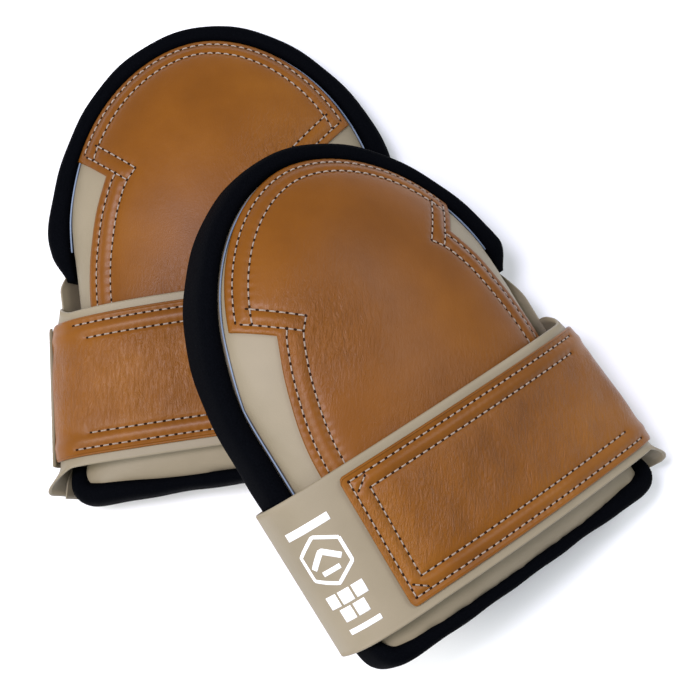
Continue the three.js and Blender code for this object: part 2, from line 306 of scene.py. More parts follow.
def leather_material(name, colors, creases, crease_turn):
    """Tan leather. Its creases show where the mesh's creased attribute says so."""
    dark, middle, light = colors
    m = Nodes(name, Specular_IOR_Level=0.2)
    place = m.coordinates()
    cloudy = m.noise(place, 14, detail=4)
    color = m.ramp(cloudy, [(0.3, dark), (0.5, middle), (0.72, light)])
    grain = m.noise(place, 900, detail=2)
    color = m.mix(m.scaled(grain, 0.0, 0.22), color, dark)
    pores = m.cells(place, 1500)
    crackle = m.noise(place, 260, detail=5, roughness=0.7)
    normal = m.bump(pores, 0.10, 0.0002)
    normal = m.bump(crackle, 0.16, 0.0004, normal)
    across_folds = m.coordinates((520, 150, 300), (0, 0, crease_turn))
    folds = m.noise(across_folds, 1.0, detail=4, roughness=0.6, distortion=1.4)
    creased = m.add("ShaderNodeAttribute", attribute_name="creased")
    normal = m.bump(folds, creases, 0.0012, normal, where=creased.outputs["Fac"])
    return m.finish(color, m.scaled(crackle, 0.3, 0.48), normal)


def leather_edge_material():
    m = Nodes("leather_cut_edge", Specular_IOR_Level=0.3)
    place = m.coordinates()
    fibres = m.noise(place, 1400, detail=3)
    color = m.ramp(fibres, [(0.3, (0.16, 0.055, 0.012)), (0.7, (0.42, 0.16, 0.035))])
    return m.finish(color, m.scaled(fibres, 0.7, 0.9), m.bump(fibres, 0.5, 0.0004))


def vinyl_material(name, dark, light):
    m = Nodes(name, Specular_IOR_Level=0.4, Sheen_Weight=0.05)
    place = m.coordinates()
    cloudy = m.noise(place, 22, detail=4)
    color = m.ramp(cloudy, [(0.3, dark), (0.7, light)])
    weave = m.noise(place, 1700, detail=2)
    color = m.mix(m.scaled(weave, 0.0, 0.18), color, dark)
    grain = m.cells(place, 1300)
    normal = m.bump(grain, 0.14, 0.0002)
    normal = m.bump(cloudy, 0.1, 0.002, normal)
    return m.finish(color, m.scaled(cloudy, 0.5, 0.64), normal)


def edging_material():
    m = Nodes("black_edging", Specular_IOR_Level=0.016)
    place = m.coordinates()
    knit = m.noise(place, 1500, detail=2)
    color = m.ramp(knit, [(0.3, (0.0005, 0.0007, 0.0013)), (0.75, (0.0018, 0.0021, 0.0032))])
    ribs = m.noise(m.coordinates((900, 900, 120)), 1.0, detail=2)
    normal = m.bump(ribs, 0.25, 0.0006)
    normal = m.bump(knit, 0.3, 0.0003, normal)
    return m.finish(color, m.scaled(knit, 0.7, 0.9), normal)


def thread_material():
    m = Nodes("thread", Specular_IOR_Level=0.5, Sheen_Weight=0.3)
    place = m.coordinates()
    fibres = m.noise(place, 2600, detail=2)
    color = m.ramp(fibres, [(0.3, (0.16, 0.115, 0.08)), (0.7, (0.36, 0.285, 0.225))])
    return m.finish(color, m.scaled(fibres, 0.5, 0.7), m.bump(fibres, 0.6, 0.0003))


# Near-black colour of the needle holes: painted shade inside each hole
def hole_shade_material():
    m = Nodes("needle_hole_shade", Specular_IOR_Level=0.1)
    fibres = m.noise(m.coordinates(), 1800, detail=2)
    color = m.ramp(fibres, [(0.3, (0.012, 0.0045, 0.002)), (0.7, (0.04, 0.015, 0.006))])
    return m.finish(color, m.scaled(fibres, 0.85, 1.0))


def felt_material():
    m = Nodes("dark_felt", Specular_IOR_Level=0.2, Sheen_Weight=0.5, Sheen_Roughness=0.6)
    place = m.coordinates()
    fluff = m.noise(place, 700, detail=6, roughness=0.75)
    color = m.ramp(fluff, [(0.3, (0.006, 0.006, 0.008)), (0.7, (0.022, 0.022, 0.026))])
    return m.finish(color, m.scaled(fluff, 0.85, 1.0), m.bump(fluff, 0.8, 0.0015))


def webbing_material():
    m = Nodes("elastic_webbing", Specular_IOR_Level=0.3, Sheen_Weight=0.25)
    place = m.coordinates()
    wave = m.add("ShaderNodeTexWave", Scale=260.0, Distortion=0.6, bands_direction="Y")
    m.link(place, wave.inputs["Vector"])
    weft = m.noise(m.coordinates((1400, 500, 1400)), 1.0, detail=2)
    color = m.ramp(weft, [(0.3, (0.004, 0.004, 0.006)), (0.75, (0.016, 0.016, 0.02))])
    normal = m.bump(wave.outputs["Fac"], 0.6, 0.0006)
    return m.finish(color, m.scaled(weft, 0.75, 0.95), m.bump(weft, 0.4, 0.0004, normal))


def tape_material(name, dark, light, scale):
    m = Nodes(name, Specular_IOR_Level=0.3, Sheen_Weight=0.2)
    place = m.coordinates()
    nap = m.cells(place, scale)
    color = m.ramp(nap, [(0.1, light), (0.6, dark)])
    return m.finish(color, m.scaled(nap, 0.65, 0.95), m.bump(nap, 0.9, 0.0008))


def print_material():
    m = Nodes("white_print", Specular_IOR_Level=0.4)
    wear = m.noise(m.coordinates(), 420, detail=4, roughness=0.7)
    color = m.ramp(wear, [(0.28, (0.62, 0.61, 0.58)), (0.42, (0.93, 0.93, 0.92))])
    return m.finish(color, m.scaled(wear, 0.4, 0.55), m.bump(wear, 0.1, 0.0002))


def floor_material():
    m = Nodes("pale_floor", Specular_IOR_Level=0.2)
    cloudy = m.noise(m.coordinates(), 3, detail=3)
    color = m.ramp(cloudy, [(0.3, (0.93, 0.93, 0.935)), (0.7, (0.96, 0.96, 0.96))])
    return m.finish(color, m.scaled(cloudy, 0.75, 0.85))


MATERIALS = {
    "cap": leather_material("cap_leather", CAP_COLORS, 1.0, 0.6),
    "band": leather_material("band_leather", BAND_COLORS, 0.8, 0.25),
    "cut_edge": leather_edge_material(),
    "vinyl": vinyl_material("beige_vinyl", (0.196, 0.16, 0.1), (0.236, 0.194, 0.126)),
    "edging": edging_material(),
    # pale bluish seam cord: painted highlight along the cover's edge
    "piping": vinyl_material("pale_piping", (0.10, 0.135, 0.20), (0.20, 0.25, 0.34)),
    "thread": thread_material(),
    # needle holes in painted shade
    "hole": hole_shade_material(),
    "felt": felt_material(),
    "webbing": webbing_material(),
    "loop": tape_material("loop_tape", (0.008, 0.008, 0.01), (0.04, 0.04, 0.046), 900),
    "hook": tape_material("hook_tape", (0.003, 0.003, 0.004), (0.02, 0.02, 0.022), 700),
    "print": print_material(),
}


# --- Shape of the bowl ---


def outline_table():
    """Unit outline, a half circle at the dome and a squared foot, with its real length so far."""
    angle = np.linspace(0, 2 * np.pi, 1441)
    c, s = np.cos(angle), np.sin(angle)
    power = np.where(s >= 0, DOME_FULLNESS, FOOT_SQUARENESS)
    reach = (np.abs(c) ** power + np.abs(s) ** power) ** (-1 / power)
    u, v = c * reach, s * reach
    x = u * HALF_WIDTH
    y = v * np.where(v > 0, DOME_LENGTH, FOOT_LENGTH)
    length = np.concatenate([[0], np.cumsum(np.hypot(np.diff(x), np.diff(y)))])
    return u, v, length / length[-1]


UNIT_U, UNIT_V, UNIT_SHARE = outline_table()


def outline(share):
    """Unit outline at shares of the way round, from the closure side anticlockwise."""
    share = np.mod(share, 1)
    return np.interp(share, UNIT_SHARE, UNIT_U), np.interp(share, UNIT_SHARE, UNIT_V)


def dome_reach(u, v):
    """How far out a unit point lies, from 0 in the middle of the dome to 1 at its rim."""
    return (np.abs(u) ** DOME_FULLNESS + np.abs(v) ** DOME_FULLNESS) ** (1 / DOME_FULLNESS)


def half_width(u, v):
    tuck = CLOSURE_TUCK - CORNER_FLARE * np.minimum(v, 0) ** 8
    return HALF_WIDTH + FOOT_FLARE * np.minimum(v, 0) ** 4 - np.where(u > 0, tuck, 0)


def crown_share(u, v):
    across = np.where(v > 0, dome_reach(u, v), np.abs(u))
    side = np.maximum(0, 1 - across**CROWN_FLATNESS) ** CROWN_FULLNESS
    return np.where(v > 0, side, side * (1 - FOOT_DROP * np.abs(np.minimum(v, 0)) ** FOOT_SHARPNESS))


def bowl(u, v, inset, base, height):
    """Points of a bowl-shaped surface at unit coordinates."""
    x = u * (half_width(u, v) - inset)
    y = DOME_Y + v * (np.where(v > 0, DOME_LENGTH, FOOT_LENGTH) - inset)
    return np.stack([x, y, base + height * crown_share(u, v)], -1)


def unit_place(x, y):
    """Unit coordinates of a plan point."""
    v = (y - DOME_Y) / np.where(y > DOME_Y, DOME_LENGTH, FOOT_LENGTH)
    return x / half_width(x, v), v


def crown_top(x, y):
    """Height of the cover's surface at a plan point."""
    return RIM_Z + CROWN_HEIGHT * crown_share(*unit_place(x, y))


def crown_normal(x, y):
    step = 0.4
    slope_x = (crown_top(x + step, y) - crown_top(x - step, y)) / (2 * step)
    slope_y = (crown_top(x, y + step) - crown_top(x, y - step)) / (2 * step)
    normal = np.stack([-slope_x, -slope_y, np.ones_like(slope_x)], -1)
    return normal / np.linalg.norm(normal, axis=-1, keepdims=True)


# --- Mesh making ---


def placement(prefix):
    """Matrix from a pad's own millimetres to the row frame's metres."""
    pose = PADS[prefix]
    turn = (
        Matrix.Rotation(math.radians(pose["yaw"]), 3, "Z")
        @ Matrix.Rotation(math.radians(pose["roll"]), 3, "Y")
        @ Matrix.Rotation(math.radians(pose["pitch"]), 3, "X")
    )
    mirror = Matrix.Diagonal(Vector((pose["side"], 1, 1)))
    joint = next(j for j in frame["joints"] if j["name"] == f"{prefix}_flap_peel")
    linear = turn @ mirror * 0.001
    origin = Vector(joint["pos_m"]) - linear @ FLAP_HINGE
    return np.array(linear), np.array(origin)


def loft(sections):
    """A closed body through a row of closed sections, each of the same count, with fans at its ends."""
    sections = np.asarray(sections, float)
    rows, columns = sections.shape[:2]
    points = np.concatenate([sections.reshape(-1, 3), [sections[0].mean(0), sections[-1].mean(0)]])
    r, c = np.meshgrid(np.arange(rows - 1) * columns, np.arange(columns), indexing="ij")
    next_c = (c + 1) % columns
    corners = [r + c, r + columns + c, r + columns + next_c, r + next_c]
    faces = np.stack(corners, -1).reshape(-1, 4).tolist()
    first, last = rows * columns, rows * columns + 1
    for k in range(columns):
        after = (k + 1) % columns
        faces.append([first, after, k])
        faces.append([last, (rows - 1) * columns + k, (rows - 1) * columns + after])
    return points, faces


def make_piece(pad, name, points, faces, materials, replaces=(), body="pad", indices=None):
    """A mesh object from pad millimetres, riding on a body of the pad. indices give its faces' materials."""
    linear, origin = placement(pad)
    world = np.asarray(points, float) @ linear.T + origin
    mesh = bpy.data.meshes.new(f"{pad}_{name}")
    mesh.from_pydata(world.tolist(), [], faces)
    for material in materials:
        mesh.materials.append(MATERIALS[material])
    if indices is not None:
        mesh.polygons.foreach_set("material_index", np.asarray(indices, np.int32))
    edit = bmesh.new()
    edit.from_mesh(mesh)
    bmesh.ops.recalc_face_normals(edit, faces=edit.faces)
    edit.to_mesh(mesh)
    edit.free()
    mesh.shade_smooth()
    piece = bpy.data.objects.new(f"{pad}_{name}", mesh)
    bpy.context.scene.collection.objects.link(piece)
    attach(piece, f"{pad}_{body}")
    if replaces:
        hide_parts(*[f"{pad}_{node}" for node in replaces])
    return piece


def mark_creased(piece, amounts):
    """Says how creased the leather is at each point."""
    attribute = piece.data.attributes.new("creased", "FLOAT", "POINT")
    attribute.data.foreach_set("value", np.asarray(amounts, np.float32))


def resampled(points, step):
    """Points evenly spaced along a line, step apart or a little less."""
    points = np.asarray(points, float)
    length = np.concatenate([[0], np.cumsum(np.linalg.norm(np.diff(points, axis=0), axis=1))])
    count = max(2, int(math.ceil(length[-1] / step)) + 1)
    wanted = np.linspace(0, length[-1], count)
    return np.stack([np.interp(wanted, length, points[:, i]) for i in range(points.shape[1])], -1)


def spline(points, per_span=12):
    """A Catmull-Rom curve through points."""
    p = np.asarray(points, float)
    p = np.concatenate([[2 * p[0] - p[1]], p, [2 * p[-1] - p[-2]]])
    t = np.linspace(0, 1, per_span, endpoint=False)[:, None]
    spans = []
    for a, b, c, d in zip(p[:-3], p[1:-2], p[2:-1], p[3:]):
        bend = 2 * a - 5 * b + 4 * c - d
        rest = 3 * b - a - 3 * c + d
        spans.append(0.5 * (2 * b + (c - a) * t + bend * t**2 + rest * t**3))
    return np.concatenate([*spans, p[-2:-1]])


def stitches(rows):
    """Threads and needle holes along rows, each a pair of hole positions and outward normals. The holes are
    near-black discs, painted shade inside each hole.
    """
    around, along = 8, 9
    t = np.linspace(0, 1, along)
    height = 0.4 - 1.3 * np.abs(2 * t - 1) ** 2.6
    girth = THREAD_RADIUS * (1 - 0.3 * np.abs(2 * t - 1) ** 4)
    angle = np.linspace(0, 2 * np.pi, around, endpoint=False)
    thread_points, thread_faces, hole_points, hole_faces = [], [], [], []
    for holes, normals in rows:
        for a, b, na, nb in zip(holes[:-1], holes[1:], normals[:-1], normals[1:]):
            line = b - a
            up = na + nb
            up = up / np.linalg.norm(up)
            across = np.cross(line, up)
            across = across / np.linalg.norm(across)
            centre = a + t[:, None] * line + height[:, None] * up
            ring = np.cos(angle)[None, :, None] * across + np.sin(angle)[None, :, None] * up
            start = sum(len(p) for p in thread_points)
            points, faces = loft(centre[:, None] + ring * girth[:, None, None])
            thread_points.append(points)
            thread_faces += [[start + i for i in face] for face in faces]
        # each hole: a near-black disc and cone, painted shade inside the hole
        for hole, normal, along_row in zip(holes, normals, np.gradient(holes, axis=0)):
            forward = along_row / np.linalg.norm(along_row)
            across = np.cross(forward, normal)
            rim = hole + np.cos(angle)[:, None] * forward * 0.95 + np.sin(angle)[:, None] * across * 0.6
            rim = rim + normal * 0.3
            start = sum(len(p) for p in hole_points)
            hole_points.append(np.concatenate([rim, [hole - normal * 0.5]]))
            hole_faces += [[start + k, start + (k + 1) % around, start + around] for k in range(around)]
            hole_faces.append([start + k for k in range(around)])
    count = sum(len(p) for p in thread_points)
    points = np.concatenate(thread_points + hole_points)
    faces = thread_faces + [[i + count for i in face] for face in hole_faces]
    indices = [0] * len(thread_faces) + [1] * len(hole_faces)
    return points, faces, indices


def nearest_on_lines(points, lines):
    """Distance from each point to the nearest of some plan lines, and how far along that line it is."""
    best = np.full(len(points), 1e9)
    along = np.zeros(len(points))
    for line in lines:
        fine = resampled(line, 0.5)
        travelled = np.concatenate([[0], np.cumsum(np.linalg.norm(np.diff(fine, axis=0), axis=1))])
        for start in range(0, len(points), 4000):
            block = points[start : start + 4000]
            gaps = np.linalg.norm(block[:, None] - fine[None], axis=2)
            index = gaps.argmin(1)
            found = gaps[np.arange(len(block)), index]
            closer = found < best[start : start + 4000]
            best[start : start + 4000][closer] = found[closer]
            along[start : start + 4000][closer] = travelled[index][closer]
    return best, along


def closed_line(line):
    return np.concatenate([line, line[:1]])


# --- Foam body in its vinyl cover ---


def bowl_rings(levels, share, inset, base, height):
    u, v = outline(share)
    return [bowl(u * s, v * s, inset, base, height) for s in levels]


def coordinates_of(mesh):
    points = np.zeros(len(mesh.vertices) * 3)
    mesh.vertices.foreach_get("co", points)
    return points.reshape(-1, 3)


def simulate_swelling(piece, keep_still):
    """Remeshes a piece and lets air pressure swell its cloth a little. keep_still picks the pinned points."""
    remesh = piece.modifiers.new("remesh", "REMESH")
    remesh.mode = "VOXEL"
    remesh.voxel_size = SWELL_VOXEL
    bpy.context.view_layer.objects.active = piece
    bpy.ops.object.modifier_apply(modifier="remesh")
    mesh = piece.data
    before = coordinates_of(mesh)
    pins = piece.vertex_groups.new(name="pins")
    pins.add([int(i) for i in np.nonzero(keep_still(before))[0]], 1.0, "REPLACE")
    cloth = piece.modifiers.new("cloth", "CLOTH")
    settings = cloth.settings
    settings.vertex_group_mass = "pins"
    settings.use_pressure = True
    settings.uniform_pressure_force = SWELL_PRESSURE
    settings.effector_weights.gravity = 0
    for frame_number in range(1, SWELL_FRAMES + 1):
        bpy.context.scene.frame_set(frame_number)
    shaped = piece.evaluated_get(bpy.context.evaluated_depsgraph_get()).to_mesh()
    moved = coordinates_of(shaped) - before
    length = np.linalg.norm(moved, axis=1, keepdims=True)
    moved *= np.minimum(1, SWELL_MOST / np.maximum(length, 1e-9))
    piece.modifiers.remove(cloth)
    bpy.context.scene.frame_set(1)
    mesh.vertices.foreach_set("co", (before + moved).ravel())
    piece.vertex_groups.remove(pins)
    divide = piece.modifiers.new("divide", "SUBSURF")
    divide.levels = 1
    bpy.ops.object.modifier_apply(modifier="divide")
    mesh.shade_smooth()


def inside_cap(x, y, margin):
    """Whether plan points lie under the leather cap, further in than margin."""
    side = np.interp(-y, [-p[1] for p in CAP_FLARE], [p[0] for p in CAP_FLARE]) - margin
    arc = dome_reach(x / (CAP_HALF_WIDTH - margin), (y - DOME_Y) / (CAP_LENGTH - margin)) < 1
    step_x, step_y = np.stack([STEP_INNER, STEP_OUTER], -1)
    above_step = y > np.interp(np.abs(x), step_x, step_y) + margin
    return np.where(above_step, arc, np.abs(x) < side)


def make_cover(pad):
    share = np.linspace(0, 1, OUTLINE_STEPS, endpoint=False)
    levels = np.linspace(0.04, 1, 34)
    rings = bowl_rings(levels, share, 0, RIM_Z, CROWN_HEIGHT)
    rings += bowl_rings([1], share, 0.6, UNDER_Z + 12, HOLLOW_HEIGHT)
    rings += bowl_rings([1], share, 1.2, UNDER_Z + 1, HOLLOW_HEIGHT)
    rings += bowl_rings([1], share, 3.0, UNDER_Z, HOLLOW_HEIGHT)
    rings += bowl_rings(levels[::-1], share, FOAM_WALL, UNDER_Z, HOLLOW_HEIGHT)
    points, faces = loft(rings)
    cover = make_piece(pad, "cover", points, faces, ["vinyl"], ["vinyl_cover", "foam_core"])
    linear, origin = placement(pad)
    to_pad = np.linalg.inv(linear)

    def keep_still(world):
        x, y, z = ((world - origin) @ to_pad.T).T
        u, v = unit_place(x, y)
        across = np.where(v > 0, dome_reach(u, v), np.maximum(np.abs(u), -v))
        under_band = (y < BAND_HIGH - 2) & (y > BAND_LOW + 6) & (np.abs(x) < 76)
        return (z < RIM_Z - 1) & (across < 2) | (across > 0.985) | inside_cap(x, y, 3.5) | under_band

    simulate_swelling(cover, keep_still)


def make_lining(pad):
    """Felt over the whole underside, into the knee hollow."""
    share = np.linspace(0, 1, OUTLINE_STEPS, endpoint=False)
    levels = np.linspace(0.04, 1, 22)
    upper_z = UNDER_Z - 0.25
    lower_z = upper_z - LINING
    upper = bowl_rings(levels, share, FOAM_WALL + 0.4, upper_z, HOLLOW_HEIGHT)
    lower = bowl_rings(levels, share, FOAM_WALL + 1.4, lower_z, HOLLOW_HEIGHT)
    rims = [bowl_rings([1], share, 4.0, z, HOLLOW_HEIGHT)[0] for z in (upper_z, lower_z)]
    points, faces = loft(upper + rims + lower[::-1])
    lining = make_piece(pad, "lining", points, faces, ["felt"], ["knee_lining"])


# --- Leather cap ---


def cap_arc():
    start = math.atan2((STEP_OUTER[1] - DOME_Y) / CAP_LENGTH, STEP_OUTER[0] / CAP_HALF_WIDTH)
    angle = np.linspace(start, math.pi - start, 160)
    u, v = np.cos(angle), np.sin(angle)
    reach = 1 / dome_reach(u, v)
    return np.stack([CAP_HALF_WIDTH * u * reach, DOME_Y + CAP_LENGTH * v * reach], -1)


def offset_line(line, distance):
    """A plan line moved to its left."""
    along = np.gradient(line, axis=0)
    along /= np.linalg.norm(along, axis=1, keepdims=True)
    return line + distance * np.stack([-along[:, 1], along[:, 0]], -1)


def cap_sides(sign):
    """Step edge and flare of one side, from the dome down."""
    flip = np.array([sign, 1])
    step = resampled(np.array([STEP_OUTER, STEP_INNER]) * flip, 1.0)
    flare = resampled(spline(CAP_FLARE) * flip, 1.0)
    return step, flare


def cap_outline():
    left_step, left_flare = cap_sides(-1)
    right_step, right_flare = cap_sides(1)
    down_left = np.concatenate([left_step[1:-1], left_flare])
    up_right = np.concatenate([right_step[1:-1], right_flare])[::-1]
    bottom = resampled([down_left[-1], up_right[0]], 3.0)[1:-1]
    return np.concatenate([resampled(cap_arc(), 1.0), down_left, bottom, up_right])


def cap_rows():
    """Plan lines of the two stitch rows: along the dome, along each step and down each side."""
    arc = cap_arc()
    rows = []
    first, second = ROW_INSETS
    slope = (STEP_OUTER[1] - STEP_INNER[1]) / (STEP_OUTER[0] - STEP_INNER[0])
    for inset in DOME_ROW_INSETS:
        row = offset_line(arc, inset)
        step_edge = STEP_OUTER[1] + slope * (np.abs(row[:, 0]) - STEP_OUTER[0])
        rows.append(row[row[:, 1] > step_edge + first * math.hypot(1, slope)])
    for sign in (-1, 1):
        step, flare = cap_sides(sign)
        run = (step[-1] - step[0]) / np.linalg.norm(step[-1] - step[0])
        rise = np.array([-run[1], run[0]])
        rise = rise * np.sign(rise[1])
        crossing = step[-1] + run * second
        near, far = (crossing + rise * inset for inset in ROW_INSETS)
        rows.append(np.array([step[0] + run * 4 + rise * first, near]))
        rows.append(np.array([step[0] + run * 5 + rise * second, far]))
        rows.append(np.array([far, near]))
        for inset, top in zip(ROW_INSETS, (step[-1] + run * first + rise * first, near)):
            side = offset_line(flare, -sign * inset)
            rows.append(np.concatenate([[top], side[side[:, 1] < top[1] - 4]]))
    return rows


def cap_lift(plan, rows, boundary):
    """Height of the leather's face above the cover at plan points."""
    edge, _ = nearest_on_lines(plan, [closed_line(boundary)])
    gap, along = nearest_on_lines(plan, rows)
    rounded = LEATHER - 0.9 * np.exp(-edge / 0.8)
    groove = 0.75 * np.exp(-((gap / 1.0) ** 2)) + 0.3 * np.exp(-((gap / 3.2) ** 2))
    pucker = 0.16 * np.cos(2 * np.pi * along / STITCH_PITCH) * np.exp(-((gap / 2.2) ** 2))
    between = 0.55 * np.exp(-(((edge - sum(ROW_INSETS) / 2) / 2.6) ** 2))
    return rounded - groove + pucker + between * (plan[:, 1] > -94)


def triangulated(boundary, inner):
    """Triangles over a plan outline and loose points inside it."""
    points = [Vector(p) for p in np.concatenate([boundary, inner]).tolist()]
    count = len(boundary)
    edges = [(k, (k + 1) % count) for k in range(count)]
    found, _, faces, *_ = delaunay_2d_cdt(points, edges, [list(range(count))], 1, 1e-5)
    return np.array([tuple(p) for p in found]), [list(face) for face in faces]


def cap_mesh(boundary, rows):
    """Plan points and triangles of the cap, finer along its edge and its stitch rows."""
    low, high = boundary.min(0), boundary.max(0)
    xs = np.arange(low[0], high[0], CAP_SPACING)
    ys = np.arange(low[1], high[1], CAP_SPACING * 0.87)
    gx, gy = np.meshgrid(xs, ys)
    gx[::2] += CAP_SPACING / 2
    plan = np.stack([gx.ravel(), gy.ravel()], -1)
    plan = plan[inside_cap(plan[:, 0], plan[:, 1], 0.0)]
    edge, _ = nearest_on_lines(plan, [closed_line(boundary)])
    gap, _ = nearest_on_lines(plan, rows)
    plan = plan[(edge > 1.8) & (gap > 1.5)]
    by_rows = [offset_line(resampled(row, 0.9), shift) for row in rows for shift in (-0.9, 0, 0.9)]
    by_edges = [offset_line(boundary, shift) for shift in (0.5, 1.2)]
    extra = np.concatenate(by_rows + by_edges)
    extra = extra[inside_cap(extra[:, 0], extra[:, 1], 0.1)]
    edge, _ = nearest_on_lines(extra, [closed_line(boundary)])
    return triangulated(boundary, np.concatenate([plan, extra[edge > 0.3]]))


def make_cap_face(pad, boundary, rows):
    plan, faces = cap_mesh(boundary, rows)
    x, y = plan.T
    ground = np.column_stack([plan, crown_top(x, y)])
    normal = crown_normal(x, y)
    top = ground + normal * cap_lift(plan, rows, boundary)[:, None]
    under = ground - normal * 0.8
    count, start = len(boundary), len(top)
    skirt = [[k, (k + 1) % count, start + (k + 1) % count, start + k] for k in range(count)]
    back = [[start + i for i in reversed(face)] for face in faces]
    face = make_piece(
        pad,
        "leather_face",
        np.concatenate([top, under]),
        faces + skirt + back,
        ["cap", "cut_edge"],
        ["leather_cap"],
        indices=[0] * len(faces) + [1] * (len(skirt) + len(back)),
    )
    knee_side = np.exp(-(((x + 38) / 24) ** 2) - ((y - 32) / 26) ** 2)
    foot_end = 0.5 * smooth(-y, -5, 40) * smooth(np.abs(x), 62, 30)
    mark_creased(face, np.tile(np.clip(knee_side + foot_end + 0.06, 0, 1), 2))


def make_cap(pad):
    boundary = cap_outline()
    rows = cap_rows()
    make_cap_face(pad, boundary, rows)
    seams = []
    for row in rows:
        holes = resampled(row, STITCH_PITCH)
        holes = holes[holes[:, 1] > STITCHES_LOW]
        if len(holes) < 2:
            continue
        normals = crown_normal(holes[:, 0], holes[:, 1])
        height = cap_lift(holes, rows, boundary)
        base = np.column_stack([holes, crown_top(holes[:, 0], holes[:, 1])])
        seams.append((base + normals * height[:, None], normals))
    points, faces, indices = stitches(seams)
    make_piece(pad, "cap_stitches", points, faces, ["thread", "hole"], indices=indices)


# --- Padded edging and the gusset ---


def rim_frames(share):
    """Rim points, and outward plan normals, at shares of the way round."""
    u, v = outline(share)
    rim = bowl(u, v, 0, RIM_Z, CROWN_HEIGHT)
    before = bowl(*outline(share - 0.003), 0, RIM_Z, CROWN_HEIGHT)
    after = bowl(*outline(share + 0.003), 0, RIM_Z, CROWN_HEIGHT)
    along = (after - before)[:, :2]
    out = np.stack([along[:, 1], -along[:, 0]], -1)
    return rim, out / np.linalg.norm(out, axis=1, keepdims=True)


def edge_sections(share, thick, low, high, start):
    """Rounded upright sections outside the rim. Every measure is given for each share."""
    rim, out = rim_frames(share)
    arch = rim[:, 2] - RIM_Z
    angle = np.linspace(0, 2 * np.pi, 28, endpoint=False)
    c, s = np.cos(angle), np.sin(angle)
    away = 0.5 + 0.5 * np.sign(c) * np.abs(c) ** 0.75
    upright = 0.5 + 0.5 * np.sign(s) * np.abs(s) ** 0.62
    sections = []
    for k in range(len(share)):
        n = start[k] + thick[k] * away
        z = arch[k] + low[k] + (high[k] - low[k]) * upright
        section = np.stack([rim[k, 0] + out[k, 0] * n, rim[k, 1] + out[k, 1] * n, z], -1)
        sections.append(section)
    return sections


def wall_foot(y):
    return UNDER_Z * (1 - smooth(y, 25, 90))


def make_dome_edging(pad):
    start_share = PADS[pad]["edge_start"]
    share = np.linspace(start_share, EDGE_END, 260)
    rim, _ = rim_frames(share)
    taper = smooth((share - start_share) / 0.02, -0.25, 1)
    waviness = 0.22 * np.sin(share * 61) + 0.18 * np.sin(share * 143 + 1)
    overlap = EDGE_OVERLAP * smooth(rim[:, 1], 5, 50)
    bulge = 2.6 * smooth(share, 0.3, 0.42) + 3.5 * np.exp(-((share / 0.025) ** 2))
    outer = (EDGE_THICKNESS + bulge) * (0.5 + 0.5 * taper) + waviness
    low = wall_foot(rim[:, 1]) + 5 * (1 - taper)
    high = EDGE_TOP + 1.7 * overlap - 6 * (1 - taper) + 0.3 * np.sin(share * 47)
    points, faces = loft(edge_sections(share, outer + overlap, low, high, SEAM - overlap))
    piece = make_piece(pad, "edge_roll", points, faces, ["edging"], ["dome_edging"])


def make_foot_edging(pad):
    share = np.linspace(*FOOT_EDGE_ENDS, 220)
    rim, _ = rim_frames(share)
    ends = np.minimum(share - share[0], share[-1] - share) / 0.01
    taper = smooth(ends, -0.3, 1)
    corner = smooth(np.abs(rim[:, 0]), 30, 85)
    overlap = (FOOT_EDGE_OVERLAP + 2.4 * corner) * smooth(-rim[:, 1], 100, 116)
    outer = (FOOT_EDGE_THICKNESS + 1.5 * smooth(rim[:, 0], 30, 85)) * taper + 0.2 * np.sin(share * 150)
    low = np.full(len(share), UNDER_Z)
    high = EDGE_TOP - 2.0 + 0.9 * overlap + 0.4 * np.sin(share * 90)
    points, faces = loft(edge_sections(share, outer + overlap, low, high, SEAM - overlap))
    piece = make_piece(pad, "foot_roll", points, faces, ["edging"], ["foot_edging"])


def make_highlight_piping(pad):
    """A thin cord in the seam between the dome edging and the cover. Its pale bluish colour is a painted
    highlight along the cover's edge.
    """
    share = np.linspace(PADS[pad]["edge_start"] + 0.02, PIPING_END, 240)
    rim, out = rim_frames(share)
    inset = EDGE_OVERLAP * smooth(rim[:, 1], 5, 50) - 0.6
    x, y = rim[:, 0] - out[:, 0] * inset, rim[:, 1] - out[:, 1] * inset
    z = np.maximum(crown_top(x, y), rim[:, 2]) + SEAM
    angle = np.linspace(0, 2 * np.pi, 8, endpoint=False)
    across, up = np.cos(angle) * PIPING_RADIUS, np.sin(angle) * PIPING_RADIUS
    sections = [
        np.stack([x[k] + out[k, 0] * across, y[k] + out[k, 1] * across, z[k] + up], -1)
        for k in range(len(share))
    ]
    points, faces = loft(sections)
    make_piece(pad, "piping", points, faces, ["piping"])


def make_gusset(pad):
    """Vinyl panel that closes the side between the cover and the band's fold."""
    count = 60
    rim, _ = rim_frames(np.array([PADS[pad]["edge_start"]]))
    top = rim[0, 1] + 3
    y = np.linspace(top, -119, count)
    opening = smooth(-y, -19, 8) * smooth(top - y, -8, 8) * (1 - 0.5 * smooth(-y, 104, 119))
    v = (y - DOME_Y) / FOOT_LENGTH
    inner_x = half_width(np.ones(count), v) + 0.9
    outer_x = inner_x + 1.2 + (89.8 + np.maximum(splay(89.8, 24, y), 0) - inner_x - 1.2) * opening
    sections = []
    for k in range(count):
        start = np.array([inner_x[k], y[k], 9.0])
        middle = np.array([inner_x[k] + 0.35 * (outer_x[k] - inner_x[k]) + 1.2, y[k], 16.0])
        end = np.array([outer_x[k], y[k], 21.0])
        line = spline([start, middle, end], 7)
        lower = line + [0.5, 0, -0.9]
        sections.append(np.concatenate([line, lower[::-1]]))
    points, faces = loft(sections)
    gusset = make_piece(pad, "gusset", points, faces, ["vinyl"], ["side_gusset"])


# --- Band ---

BAND_LINE = resampled(spline(BAND_PATH), BAND_STEP)
BAND_LENGTH = BAND_STEP * (len(BAND_LINE) - 1)
BAND_ARC = np.linspace(0, BAND_LENGTH, len(BAND_LINE))
FOLD_ARC = BAND_ARC[np.argmax(BAND_LINE[:, 0] > 87.0)]


